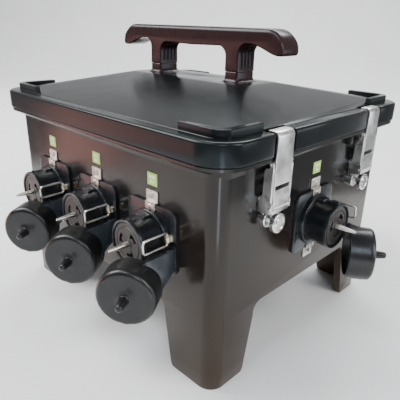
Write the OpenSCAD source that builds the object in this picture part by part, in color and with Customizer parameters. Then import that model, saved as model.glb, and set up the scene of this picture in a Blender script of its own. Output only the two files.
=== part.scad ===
// Portable power distribution box: a moulded tub on four corner legs, a hipped lift-off lid with
// a carry handle, flanged locking outlets with tethered caps, and draw latches on the short walls.
// Origin: floor level, under the middle of the whole outline with its caps hanging open.
// +X runs along the long side, +Z is up.
// The three outlets stand on the -Y wall, the fourth on the +X wall, and the inlet on the +Y wall.

/* [Body] */
// Length of the lid rim, along X
rim_length = 408; // [400:1:420]
// Width of the lid rim, along Y
rim_width = 358; // [350:1:370]
// Corner radius of the lid rim
rim_radius = 34; // [28:1:40]
// Height of the lid's upright rim
rim_height = 22; // [20:1:24]
// Overhang of the rim past the tub wall
rim_overhang = 16; // [15:0.5:17]
// Height of the corner legs, which is the clearance under the tub
leg_height = 85; // [75:1:95]
// Height of the tub wall, from its floor to the rim
wall_height = 169; // [165:1:180]
// Thickness of the moulded walls
wall = 4; // [3:0.5:5]
// Thickness of the legs
leg_thickness = 10; // [8:0.5:12]
// Height of one breaker seat above the tub floor
gear_height = 99; // [95:1:103]

/* [Lid] */
// Rise of the lid from its rim to the handle platform
lid_rise = 24; // [20:1:28]
// Length of the flat platform under the handle
platform_length = 200; // [190:2:230]
// Width of the flat platform under the handle
platform_width = 70; // [60:2:90]

/* [Handle] */
// Length of the hand grip
grip_length = 280; // [260:2:300]
// Depth of the grip and its posts, along Y
grip_depth = 32; // [28:1:36]
// Distance between the middles of the two posts
post_spacing = 137; // [125:1:150]
// Height of the grip's top above the platform, which the posts stand on
handle_height = 61.5; // [56:0.5:66]

/* [Outlets] */
// Distance between neighbouring outlets
outlet_pitch = 100; // [98:1:104]
// Offset of the outlet row from the middle of the wall
outlet_shift = -2; // [-3:1:3]
// Height of the outlet axis above the floor
outlet_z = 157.5; // [150:0.5:162]
// Radius of the outlet barrel
barrel_radius = 26; // [25.5:0.1:26.2]
// Length of the barrel, out from the wall
barrel_length = 35; // [33:1:37]
// Width of the flange plate
flange_width = 76; // [74:1:78]
// Height of the flange plate
flange_height = 72; // [70:1:74]
// Thickness of the flange plate
flange_thickness = 3; // [2.5:0.1:3.4]
// Outer radius of the weather cap
cap_radius = 30.5; // [30:0.1:30.6]
// Depth of the weather cap
cap_depth = 29; // [27:0.5:29]
// Angle at which the caps hang open, about the vertical
cap_angle = 34; // [32:1:36]

/* [Latches] */
// Distance of each latch from the middle of the short wall
latch_offset = 91.5; // [88:0.5:95]
// Width of the latch strap
strap_width = 26; // [24:0.5:27]

/* [Hidden] */
$fn = 64;

black_plastic = [0.13, 0.14, 0.15];
black_rubber = [0.09, 0.10, 0.11];
steel = [0.78, 0.78, 0.76];
zinc = [0.86, 0.83, 0.76];
brass = [0.72, 0.56, 0.30];
label_green = [0.62, 0.80, 0.30];
gear_grey = [0.80, 0.81, 0.80];

// Levels and half sizes that follow from the driving sizes
rim_base_z = leg_height + wall_height;
rim_top_z = rim_base_z + rim_height;
platform_z = rim_top_z + lid_rise;
half_length = rim_length / 2;
half_width = rim_width / 2;
tub_half_length = half_length - rim_overhang;
tub_half_width = half_width - rim_overhang;
tub_radius = rim_radius - rim_overhang;
lid_seam = 0.3;

// Latch geometry, measured out from the tub wall
slot_clearance = 4;
strap_thickness = 2.5;
strap_plane = rim_overhang - 1.5;
strap_pivot_z = 202;
strap_pivot_out = strap_plane;
strap_bottom_z = 196.5;
hook_top_z = rim_top_z + 1;
hook_reach = 12.5;
cam_z = 184;
cam_front = 18.4;
cam_radius = 10.4;
notch_half = strap_width / 2 + slot_clearance;
pocket_floor_z = rim_top_z - 5;

// Cap tether hinge, in the outlet's own frame (right, out, up)
tether_pivot = [36, -9, -15];
tether_height = 18;
cap_face_centre = [33.5, -65, -35.5];
nub_length = 16;
nub_tip = 3.6;

// Clips and labels, in the outlet's own frame
clip_width = 18;
label_width = 15;
label_height = 13.5;
label_low = 54.5;

// Bail, in the outlet's own frame
bail_pivot = [31.5, -8];
bail_low = 1.5;
bail_high = 15.5;
bail_reach = 31;
wire_radius = 1.2;

// Shift that puts the frame under the middle of the whole outline
cap_reach = nub_length * cos(cap_angle) + nub_tip * sin(cap_angle) - cap_face_centre[1];
latch_reach = cam_front;
frame_shift = (cap_reach - latch_reach) / 2;

// Gear tray
plate_z = leg_height + gear_height + wall;
rail_top_z = plate_z + 9.5;
breaker_width = 17.5;
breaker_x = [-70, -52, -34, -16];
main_x = 22;
main_width = 35.5;
toggle_z = rail_top_z + 50;
post_x = 130;
post_y = 98;

module round_rect(length, width, radius) {
    square([length - 2 * radius, width], center = true);
    square([length, width - 2 * radius], center = true);
    for (sx = [-1, 1], sy = [-1, 1])
        translate([sx * (length / 2 - radius), sy * (width / 2 - radius)])
            circle(radius);
}

module ring_wall(half_x, half_y, radius, thickness, height) {
    linear_extrude(height)
        difference() {
            round_rect(2 * half_x, 2 * half_y, radius);
            round_rect(2 * (half_x - thickness), 2 * (half_y - thickness), max(radius - thickness, 1));
        }
}

module in_frame() {
    translate([-frame_shift, 0, 0])
        children();
}

// Upright of a wall outlet: child geometry looks out along -Y, its right-hand side is +X
module at_outlet(index) {
    spot = index <= 3
        ? [outlet_shift + (index - 2) * outlet_pitch, -tub_half_width, 0]
        : index == 4 ? [tub_half_length, 0, 90] : [0, tub_half_width, 180];
    translate([spot[0], spot[1], outlet_z])
        rotate([0, 0, spot[2]])
            children();
}

// Latch position: child geometry looks out along +X from the wall plane at x = 0
module at_latch(index) {
    side = index <= 2 ? 0 : 180;
    offset_y = index % 2 == 1 ? -latch_offset : latch_offset;
    rotate([0, 0, side])
        translate([tub_half_length, offset_y, 0])
            children();
}

module out_cylinder(radius, from, to) {
    translate([0, -from, 0])
        rotate([90, 0, 0])
            cylinder(r = radius, h = to - from);
}

// ---- Tub ----

module leg_gap(top_half, bottom_half) {
    corner = 11;
    offset(r = corner)
        offset(delta = -corner)
            polygon([
                [-top_half, leg_height], [top_half, leg_height],
                [bottom_half, 0], [bottom_half + 4, -30], [-bottom_half - 4, -30], [-bottom_half, 0]
            ]);
}

module legs() {
    difference() {
        ring_wall(tub_half_length, tub_half_width, tub_radius, leg_thickness, leg_height + wall);
        rotate([90, 0, 0])
            linear_extrude(rim_width, center = true)
                leg_gap(113, 128);
        rotate([90, 0, 90])
            linear_extrude(rim_length, center = true)
                leg_gap(97, 114);
    }
}

module tub() {
    color(black_plastic) in_frame()
        difference() {
            union() {
                translate([0, 0, leg_height])
                    linear_extrude(wall_height)
                        round_rect(2 * tub_half_length, 2 * tub_half_width, tub_radius);
                legs();
                translate([0, 0, rim_base_z - 5])
                    linear_extrude(5 - lid_seam)
                        round_rect(rim_length - 3, rim_width - 3, rim_radius - 1.5);
                for (sx = [-1, 1], sy = [-1, 1])
                    translate([sx * (tub_half_length + 2), sy * (latch_offset - 25), rim_base_z - 20])
                        cylinder(r = 3.5, h = 16);
                translate([0, 0, rim_base_z - 9])
                    linear_extrude(5)
                        round_rect(2 * tub_half_length + 12, 2 * tub_half_width + 12, tub_radius + 6);
            }
            translate([0, 0, leg_height + wall])
                linear_extrude(wall_height)
                    round_rect(2 * (tub_half_length - wall), 2 * (tub_half_width - wall), tub_radius - wall);
            for (i = [1 : 5])
                at_outlet(i)
                    out_cylinder(22.4, -wall - 1, 1);
            for (i = [1 : 4])
                at_latch(i)
                    translate([strap_plane - 2, -notch_half, rim_base_z - 12])
                        cube([20, 2 * notch_half, 20]);
        }
}

// ---- Lid ----

module hipped_solid(inset, drop) {
    hull() {
        translate([0, 0, rim_top_z - 3 - drop])
            linear_extrude(3)
                round_rect(2 * (half_length - 14 - inset), 2 * (half_width - 14 - inset), rim_radius - 12, $fn = 48);
        translate([0, 0, platform_z - 1 - drop])
            linear_extrude(1)
                round_rect(platform_length - 2 * inset * 0.2, platform_width - 2 * inset * 0.2, 8, $fn = 48);
    }
}

module corner_ridge() {
    ridge_length = 55;
    ridge_width = 7;
    translate([half_length - 14, half_width - 15.5, rim_top_z - 2]) {
        translate([-ridge_length, -ridge_width, 0])
            cube([ridge_length - 14, ridge_width, 10]);
        translate([-ridge_width, -ridge_length, 0])
            cube([ridge_width, ridge_length - 14, 10]);
        translate([-14, -14, 0])
            intersection() {
                difference() {
                    cylinder(r = 14, h = 10);
                    translate([0, 0, -1])
                        cylinder(r = 14 - ridge_width, h = 12);
                }
                cube([20, 20, 20]);
            }
    }
}

module lid() {
    color(black_plastic) in_frame()
        difference() {
            union() {
                translate([0, 0, rim_base_z])
                    linear_extrude(rim_height)
                        round_rect(rim_length, rim_width, rim_radius);
                hipped_solid(0, 0);
                for (mx = [0, 1], my = [0, 1])
                    mirror([mx, 0, 0])
                        mirror([0, my, 0])
                            corner_ridge();
            }
            difference() {
                union() {
                    translate([0, 0, rim_base_z - 1])
                        linear_extrude(rim_height + 1 - wall)
                            round_rect(rim_length - 10, rim_width - 10, rim_radius - 5);
                    hipped_solid(wall, wall);
                }
                for (i = [1 : 4])
                    at_latch(i)
                        translate([-4, -notch_half - 3, rim_base_z + 8])
                            cube([20, 2 * notch_half + 6, 30]);
                translate([0, 0, rim_base_z + 4.4])
                    ring_wall(tub_half_length + 2, tub_half_width + 2, tub_radius + 2, 3, rim_height);
                for (s = [-1, 1])
                    translate([s * post_spacing / 2, 0, platform_z - 12])
                        cylinder(r = 8, h = 20);
            }
            for (i = [1 : 4])
                at_latch(i) {
                    translate([strap_plane - 2, -notch_half, rim_base_z - 1])
                        cube([20, 2 * notch_half, rim_height + 10]);
                    translate([0, -notch_half, pocket_floor_z])
                        cube([30, 2 * notch_half, 30]);
                }
            for (s = [-1, 1])
                translate([s * post_spacing / 2, 0, platform_z - 20])
                    cylinder(r = 3.2, h = 40);
        }
}

module lid_gasket() {
    color(black_rubber) in_frame()
        translate([0, 0, rim_base_z])
            ring_wall(tub_half_length + 9, tub_half_width + 9, tub_radius + 9, 12, 4.2);
}

// ---- Handle ----

module handle_outline() {
    top = platform_z + handle_height;
    seat = platform_z;
    lip_z = top - 28;
    arch_z = top - 17;
    inner = post_spacing / 2 - 10;
    outer = post_spacing / 2 + 10;
    tip = grip_length / 2;
    difference() {
        translate([0, top - 40])
            round_rect(2 * tip, 80, 24);
        translate([0, top - 51])
            round_rect(2 * inner, 60, 12);
        for (m = [0, 1])
            mirror([m, 0]) {
                translate([outer + 12, arch_z - 12])
                    circle(12);
                polygon([
                    [outer, seat - 1], [outer, arch_z - 12], [outer + 12, arch_z], [outer + 25, arch_z],
                    [tip - 13, lip_z], [tip + 1, lip_z], [tip + 1, seat - 1]
                ]);
            }
        translate([0, seat - 50])
            square([2 * tip, 100], center = true);
    }
}

module handle() {
    color(black_plastic) in_frame()
        difference() {
            rotate([90, 0, 0])
                linear_extrude(grip_depth, center = true)
                    handle_outline();
            for (s = [-1, 1])
                translate([s * post_spacing / 2, 0, platform_z])
                    cylinder(r = 2.6, h = 34);
        }
}

module handle_screws() {
    color(steel) in_frame()
        for (s = [-1, 1])
            translate([s * post_spacing / 2, 0, platform_z - 14]) {
                cylinder(r = 2.5, h = 44);
                translate([0, 0, -2])
                    cylinder(r = 5.5, h = 4);
            }
}

// ---- Outlets and inlet, in the outlet's own frame ----

module flange_housing() {
    difference() {
        union() {
            rotate([90, 0, 0])
                linear_extrude(flange_thickness)
                    round_rect(flange_width, flange_height, 9);
            out_cylinder(barrel_radius, 2, barrel_length);
            out_cylinder(22, -38, 3);
            translate([-6, -19, barrel_radius - 2])
                cube([12, 14, 4.5]);
            translate([-1.5, -barrel_length + 1, barrel_radius - 1])
                cube([3, 4, 2.2]);
        }
        out_cylinder(23.2, 24, barrel_length + 1);
    }
}

module twist_slot(angle, sweep) {
    rotate([0, angle, 0])
        rotate([90, 0, 0])
            rotate_extrude(angle = sweep)
                translate([11.5, 0])
                    square([3, 20]);
}

module contact_insert() {
    difference() {
        out_cylinder(23, 24.2, barrel_length - 1.5);
        out_cylinder(3.2, 20, barrel_length);
        for (a = [20, 140, 260])
            translate([0, -20, 0])
                twist_slot(a, 42);
    }
}

module contact_pin() {
    out_cylinder(3, 24.2, 40);
    translate([0, -40, 0])
        rotate([90, 0, 0])
            cylinder(r1 = 3, r2 = 1.3, h = 17);
}

module flange_clip() {
    half = clip_width / 2;
    front = flange_thickness + 1.7;
    translate([-half, -1.6, flange_height / 2 + 0.4])
        cube([clip_width, 1.6, 13]);
    translate([-half, -front, flange_height / 2 + 0.4])
        cube([clip_width, front, 1.6]);
    translate([-half, -front, flange_height / 2 - 6.4])
        cube([clip_width, 1.6, 8]);
}

module at_cap() {
    translate(cap_face_centre)
        rotate([0, 0, cap_angle])
            children();
}

module weather_cap() {
    at_cap() {
        difference() {
            union() {
                out_cylinder(cap_radius, -cap_depth, -3);
                translate([0, 3, 0])
                    rotate([90, 0, 0])
                        cylinder(r1 = cap_radius, r2 = cap_radius - 3, h = 3);
            }
            out_cylinder(cap_radius - 3, -cap_depth - 1, -4);
        }
        rotate([90, 0, 0])
            cylinder(r1 = 5, r2 = nub_tip, h = nub_length);
    }
}

module cap_tether() {
    forward = [sin(cap_angle), -cos(cap_angle)];
    side = [cos(cap_angle), sin(cap_angle)];
    root = [tether_pivot[0], tether_pivot[1]];
    mouth = [cap_face_centre[0], cap_face_centre[1]] - cap_depth * forward;
    rim = mouth + cap_radius * side;
    difference() {
        union() {
            translate([tether_pivot[0], tether_pivot[1], tether_pivot[2] - tether_height / 2])
                cylinder(r = 3.2, h = tether_height);
            translate([0, 0, tether_pivot[2] - tether_height / 2])
                linear_extrude(tether_height)
                    polygon([
                        root - 2 * side, root + [2, 1], rim - 2 * forward + 2 * side,
                        rim + 8 * forward + 2 * side, rim + 8 * forward - 14 * side, rim + forward - 14 * side
                    ]);
        }
        translate([tether_pivot[0], tether_pivot[1], tether_pivot[2] - tether_height])
            cylinder(r = 1.8, h = 2 * tether_height);
        at_cap()
            out_cylinder(cap_radius, -cap_depth - 1, 1);
    }
}

module tether_lug() {
    for (s = [-1, 1])
        translate([0, 0, tether_pivot[2] + s * (tether_height / 2 + 1.8)]) {
            translate([tether_pivot[0], tether_pivot[1], 0])
                cylinder(r = 2.8, h = 3, center = true);
            translate([tether_pivot[0] - 2.2, tether_pivot[1], -1.5])
                cube([4, -tether_pivot[1] - flange_thickness, 3]);
        }
    translate([tether_pivot[0], tether_pivot[1], tether_pivot[2]])
        cylinder(r = 1.5, h = tether_height + 6, center = true);
}

module wire_bail() {
    for (z = [bail_low, bail_high])
        translate([bail_pivot[0], bail_pivot[1], z])
            rotate([90, 0, 0])
                cylinder(r = wire_radius, h = bail_reach);
    for (y = [bail_pivot[1], bail_pivot[1] - bail_reach])
        translate([bail_pivot[0], y, bail_low - wire_radius])
            cylinder(r = wire_radius, h = bail_high - bail_low + 2 * wire_radius);
}

module bail_eye() {
    middle = (bail_low + bail_high) / 2;
    difference() {
        union() {
            translate([bail_pivot[0], bail_pivot[1], middle])
                cylinder(r = 3, h = 6, center = true);
            translate([bail_pivot[0] - 2, bail_pivot[1], middle - 3])
                cube([4, -bail_pivot[1] - flange_thickness, 6]);
        }
        translate([bail_pivot[0], bail_pivot[1], middle])
            cylinder(r = 1.5, h = 10, center = true);
    }
}

module outlet_housing(index) {
    color(black_plastic) in_frame()
        at_outlet(index)
            flange_housing();
}

module outlet_inserts() {
    color(black_plastic) in_frame()
        for (i = [1 : 4])
            at_outlet(i)
                contact_insert();
}

module inlet_insert() {
    color(black_plastic) in_frame()
        at_outlet(5)
            difference() {
                out_cylinder(23, 24.2, 27);
                for (a = [0 : 120 : 240])
                    rotate([0, a, 0])
                        translate([12, 0, 0])
                            out_cylinder(2.7, 20, 30);
            }
}

module inlet_pins() {
    color(brass) in_frame()
        at_outlet(5)
            for (a = [0 : 120 : 240])
                rotate([0, a, 0])
                    translate([12, 0, 0])
                        out_cylinder(2.65, 24.2, 33);
}

module earth_pins() {
    color(steel) in_frame()
        for (i = [1 : 4])
            at_outlet(i)
                contact_pin();
}

module flange_clips() {
    color(zinc) in_frame()
        for (i = [1 : 5])
            at_outlet(i)
                for (flip = [0, 1])
                    mirror([0, 0, flip])
                        flange_clip();
}

module clip_screws() {
    color(steel) in_frame()
        for (i = [1 : 5], s = [-1, 1])
            at_outlet(i)
                translate([0, 0, s * (flange_height / 2 + 8)])
                    out_cylinder(3.6, 1.6, 3.4);
}

module clip_rivets() {
    color(brass) in_frame()
        for (i = [1 : 5], s = [-1, 1])
            at_outlet(i)
                translate([0, 0, s * (flange_height / 2 - 2.6)])
                    out_cylinder(2.6, flange_thickness + 1.7, flange_thickness + 2.9);
}

module outlet_labels() {
    color(label_green) in_frame()
        for (i = [1 : 4])
            at_outlet(i)
                translate([-label_width / 2, -0.6, label_low])
                    cube([label_width, 0.6, label_height]);
}

module bail_eyes() {
    color(brass) in_frame()
        for (i = [1 : 5])
            at_outlet(i)
                bail_eye();
}

module tether_lugs() {
    color(steel) in_frame()
        for (i = [1 : 5])
            at_outlet(i)
                tether_lug();
}

module cap(index) {
    color(black_rubber) in_frame()
        at_outlet(index)
            weather_cap();
}

module tether(index) {
    color(black_rubber) in_frame()
        at_outlet(index)
            cap_tether();
}

module bail(index) {
    color(steel) in_frame()
        at_outlet(index)
            wire_bail();
}

// ---- Latches, in the latch's own frame ----

module cheek_outline() {
    front = strap_plane + 1.5;
    polygon([
        [0, 196], [front - 2, 196], [front + 1.8, 199], [front + 1.8, 205], [front, 209], [front, 245], [front - 1.5, 248], [front - 4.5, 248.4],
        [front - 5.5, 246.5], [front - 4, 244], [5.5, 243], [5.5, 213], [0, 208]
    ]);
}

module latch_base(index) {
    cheek_inner = strap_width / 2 + 0.8;
    color(steel) in_frame()
        at_latch(index)
            difference() {
                union() {
                    translate([0, -cheek_inner - 1.5, 196])
                        cube([2, 2 * cheek_inner + 3, 16]);
                    translate([0, -6, cam_z])
                        cube([2, 12, 14]);
                    translate([0, 0, cam_z])
                        rotate([0, 90, 0])
                            cylinder(r = 8.5, h = 5);
                    for (s = [-1, 1])
                        translate([0, s * (cheek_inner + 0.75) + 0.75, 0])
                            rotate([90, 0, 0])
                                linear_extrude(1.5)
                                    cheek_outline();
                }
                translate([-1, 0, cam_z])
                    rotate([0, 90, 0])
                        cylinder(r = 3.05, h = 10);
                translate([strap_pivot_out, 0, strap_pivot_z])
                    rotate([90, 0, 0])
                        cylinder(r = 1.55, h = 60, center = true);
            }
}

module latch_pins() {
    color(steel) in_frame()
        for (i = [1 : 4])
            at_latch(i)
                translate([strap_pivot_out, 0, strap_pivot_z])
                    rotate([90, 0, 0])
                        cylinder(r = 1.5, h = strap_width + 6.4, center = true);
}

module strap_outline() {
    bend = 5.5;
    bend_x = strap_plane + strap_thickness - bend;
    bend_z = hook_top_z - bend;
    translate([strap_plane, strap_bottom_z])
        square([strap_thickness, bend_z - strap_bottom_z]);
    translate([bend_x, bend_z])
        intersection() {
            difference() {
                circle(bend);
                circle(bend - strap_thickness);
            }
            square(bend);
        }
    translate([strap_plane + strap_thickness - hook_reach, hook_top_z - strap_thickness])
        square([hook_reach - bend, strap_thickness]);
    translate([strap_pivot_out, strap_pivot_z])
        circle(3.4);
}

module latch_strap(index) {
    color(steel) in_frame()
        at_latch(index)
            difference() {
                rotate([90, 0, 0])
                    linear_extrude(strap_width, center = true)
                        strap_outline();
                translate([strap_pivot_out, 0, strap_pivot_z])
                    rotate([90, 0, 0])
                        cylinder(r = 1.58, h = strap_width + 10, center = true);
                translate([strap_plane - 2, -strap_width / 2 + 2, 220])
                    cube([8, strap_width - 4, 6]);
            }
}

module latch_cam(index) {
    color(steel) in_frame()
        at_latch(index)
            translate([0, 0, cam_z])
                rotate([0, 90, 0])
                    difference() {
                        union() {
                            translate([0, 0, 0.5])
                                cylinder(r = 3, h = 12);
                            translate([0, 0, 12])
                                cylinder(r = cam_radius, h = cam_front - 13.2);
                            translate([0, 0, cam_front - 1.2])
                                cylinder(r1 = cam_radius, r2 = cam_radius - 1.2, h = 1.2);
                        }
                        translate([-1, -7, cam_front - 2.2])
                            cube([2, 14, 4]);
                    }
}

// ---- Gear tray inside the tub ----

module gear_plate() {
    color(steel) in_frame()
        translate([0, 0, plate_z])
            linear_extrude(2)
                difference() {
                    round_rect(2 * post_x + 24, 2 * post_y + 24, 8);
                    for (sx = [-1, 1], sy = [-1, 1])
                        translate([sx * post_x, sy * post_y])
                            circle(2.6);
                    for (sx = [-1, 1])
                        translate([sx * 95, 0])
                            round_rect(24, 120, 8);
                }
}

module standoffs() {
    color(steel) in_frame()
        for (sx = [-1, 1], sy = [-1, 1])
            translate([sx * post_x, sy * post_y, leg_height + wall]) {
                cylinder(r = 5, h = gear_height);
                cylinder(r = 2.5, h = gear_height + 6);
                translate([0, 0, gear_height + 2])
                    cylinder(r = 4.6, h = 4, $fn = 6);
            }
}

module din_rail() {
    color(zinc) in_frame()
        translate([-78, 0, plate_z + 2])
            rotate([90, 0, 90])
                linear_extrude(140)
                    polygon([
                        [-13.5, 0], [13.5, 0], [13.5, 6.5], [17.5, 6.5], [17.5, 7.5], [12.5, 7.5],
                        [12.5, 1], [-12.5, 1], [-12.5, 7.5], [-17.5, 7.5], [-17.5, 6.5], [-13.5, 6.5]
                    ]);
}

module breaker_case(width) {
    rotate([90, 0, 90])
        linear_extrude(width, center = true)
            polygon([
                [-42, 0], [42, 0], [42, 36], [23, 36], [23, 52], [-23, 52], [-23, 36], [-42, 36]
            ]);
}

module toggle_slot(width) {
    translate([-width / 2, -15, 44])
        cube([width, 30, 20]);
}

module breaker_cases() {
    color(gear_grey) in_frame()
        for (x = breaker_x)
            translate([x, 0, rail_top_z])
                difference() {
                    breaker_case(breaker_width);
                    toggle_slot(7);
                }
}

module main_switch_case() {
    color(gear_grey) in_frame()
        translate([main_x, 0, rail_top_z])
            difference() {
                breaker_case(main_width);
                translate([-7, 0, 0])
                    toggle_slot(13);
                translate([10, 0, 44])
                    cylinder(r = 4.3, h = 10);
            }
}

module toggle_lever(width) {
    rotate([90, 0, 90])
        linear_extrude(width, center = true) {
            circle(5.5);
            rotate(-28)
                translate([-2, 0])
                    square([4, 13]);
        }
}

module breaker_toggle(index) {
    color(black_plastic) in_frame()
        translate([breaker_x[index - 1], 0, toggle_z])
            toggle_lever(6);
}

module main_toggle() {
    color(black_plastic) in_frame()
        translate([main_x - 7, 0, toggle_z])
            toggle_lever(12);
}

module test_button() {
    color(zinc) in_frame()
        translate([main_x + 10, 0, rail_top_z + 48])
            cylinder(r = 4, h = 6.5);
}

module terminal_bars() {
    color(brass) in_frame()
        for (s = [-1, 1])
            translate([-8, s * 75, plate_z + 2]) {
                for (e = [-1, 1])
                    translate([e * 52 - 4, -5, 0])
                        cube([8, 10, 10]);
                difference() {
                    translate([-60, -5, 10])
                        cube([120, 10, 9]);
                    for (k = [-4 : 4])
                        translate([k * 12, 0, 12])
                            cylinder(r = 2, h = 10);
                }
            }
}

tub();
lid();
lid_gasket();
handle();
handle_screws();
for (i = [1 : 4])
    outlet_housing(i);
outlet_housing(5);  // inlet_housing
outlet_inserts();
inlet_insert();
earth_pins();
inlet_pins();
flange_clips();
clip_screws();
clip_rivets();
outlet_labels();
bail_eyes();
tether_lugs();
for (i = [1 : 5])
    cap(i);
for (i = [1 : 5])
    tether(i);
for (i = [1 : 5])
    bail(i);
for (i = [1 : 4])
    latch_base(i);
for (i = [1 : 4])
    latch_strap(i);
for (i = [1 : 4])
    latch_cam(i);
latch_pins();
gear_plate();
standoffs();
din_rail();
breaker_cases();
main_switch_case();
for (i = [1 : 4])
    breaker_toggle(i);
main_toggle();
test_button();
terminal_bars();
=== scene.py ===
import math

import bmesh
import bpy
from mathutils import Matrix, Vector, noise


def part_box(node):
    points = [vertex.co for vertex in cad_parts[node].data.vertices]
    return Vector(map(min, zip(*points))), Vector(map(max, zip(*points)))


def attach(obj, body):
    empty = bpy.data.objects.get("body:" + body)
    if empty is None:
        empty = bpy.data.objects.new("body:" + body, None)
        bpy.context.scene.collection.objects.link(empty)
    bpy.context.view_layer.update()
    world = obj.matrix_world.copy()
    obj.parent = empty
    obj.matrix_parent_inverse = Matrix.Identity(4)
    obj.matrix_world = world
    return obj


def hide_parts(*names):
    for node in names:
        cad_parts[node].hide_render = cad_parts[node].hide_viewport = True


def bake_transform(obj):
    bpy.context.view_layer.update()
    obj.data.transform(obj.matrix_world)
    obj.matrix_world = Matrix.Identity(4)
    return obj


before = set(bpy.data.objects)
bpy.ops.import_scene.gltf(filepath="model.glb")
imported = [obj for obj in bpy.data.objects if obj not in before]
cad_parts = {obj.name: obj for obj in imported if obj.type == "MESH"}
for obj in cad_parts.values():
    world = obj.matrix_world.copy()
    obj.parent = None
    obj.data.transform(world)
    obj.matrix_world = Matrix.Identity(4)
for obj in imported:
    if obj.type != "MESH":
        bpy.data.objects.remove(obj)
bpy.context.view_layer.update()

MM = 0.001


# ---- Places taken from the frame ----

def corners(node):
    low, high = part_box(node)
    return Vector(low), Vector(high)


LID_LOW, LID_HIGH = corners("lid")
HANDLE_LOW, HANDLE_HIGH = corners("handle")
OUTLET_LOW, OUTLET_HIGH = corners("outlet_housing_1")
MIDDLE_X = (LID_LOW.x + LID_HIGH.x) / 2
HALF_LENGTH = (LID_HIGH.x - LID_LOW.x) / 2
HALF_WIDTH = (LID_HIGH.y - LID_LOW.y) / 2
OVERHANG = 16 * MM
WALL_X = HALF_LENGTH - OVERHANG
WALL_Y = HALF_WIDTH - OVERHANG
WALL_RADIUS = 18 * MM
WALL = 4 * MM
LEG_HEIGHT = 85 * MM
LEG_THICKNESS = 10 * MM
RIM_LOW = LID_LOW.z
RIM_HIGH = RIM_LOW + 22 * MM
RIM_RADIUS = 34 * MM
PLATFORM_X = 100 * MM
PLATFORM_Y = 35 * MM
PLATFORM_Z = RIM_LOW + 46 * MM
POST_X = 68.5 * MM
OUTLET_Z = (OUTLET_LOW.z + OUTLET_HIGH.z) / 2
PLATE = 3 * MM
BARREL_RADIUS = 26 * MM
BARREL_LENGTH = 35 * MM
CAP_RADIUS = 30.5 * MM
CAP_DEPTH = 29 * MM
CAP_YAW = 34
CAP_FACE = Vector((33.5, -65, -35.5)) * MM
BAIL_PIVOT = Vector((31.5, -8, 8.5)) * MM
LATCH_Y = 91.5 * MM
NOTCH_HALF = 17 * MM
NOTCH_BACK = 12.5 * MM
STRAP_PLANE = 14.5 * MM
STRAP_THICKNESS = 2.4 * MM
STRAP_PIVOT = Vector((14.5, 0, 202)) * MM
STRAP_BOTTOM = 196.6 * MM
HOOK_TOP = RIM_HIGH + 1 * MM
CAM_Z = 184 * MM


def moved(offset):
    return Matrix.Translation(offset)


def turned(degrees, axis):
    return Matrix.Rotation(math.radians(degrees), 4, axis)


def raised(height):
    """Stands an XY drawing on a wall at this height: its Y points up and its Z points out, to -Y."""
    return Matrix(((1, 0, 0, 0), (0, 0, -1, 0), (0, 1, 0, height), (0, 0, 0, 1)))


STANDING = raised(0)
QUARTER_TURN = turned(90, "Z")
HALF_TURN = turned(180, "Z")
TO_MIDDLE = moved((MIDDLE_X, 0, 0))


def outlet_matrix(index):
    """From an outlet's own frame (+X to its right, -Y out of the wall) to the row frame."""
    if index <= 3:
        low, high = corners(f"outlet_housing_{index}")
        return moved(((low.x + high.x) / 2, -WALL_Y, OUTLET_Z))
    if index == 4:
        return moved((MIDDLE_X + WALL_X, 0, OUTLET_Z)) @ QUARTER_TURN
    return moved((MIDDLE_X, WALL_Y, OUTLET_Z)) @ HALF_TURN


def cap_matrix(index):
    """From a cap's own frame (face at the origin, -Y out of the face) to the row frame."""
    turn = turned(CAP_YAW, "Z")
    return outlet_matrix(index) @ moved(CAP_FACE) @ turn


def latch_matrix(index):
    """From a latch's own frame (+X out of the wall, origin at floor level) to the row frame."""
    turn = turned(0 if index <= 2 else 180, "Z")
    across = -LATCH_Y if index % 2 else LATCH_Y
    return TO_MIDDLE @ turn @ moved((WALL_X, across, 0))


# ---- Materials ----

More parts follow.
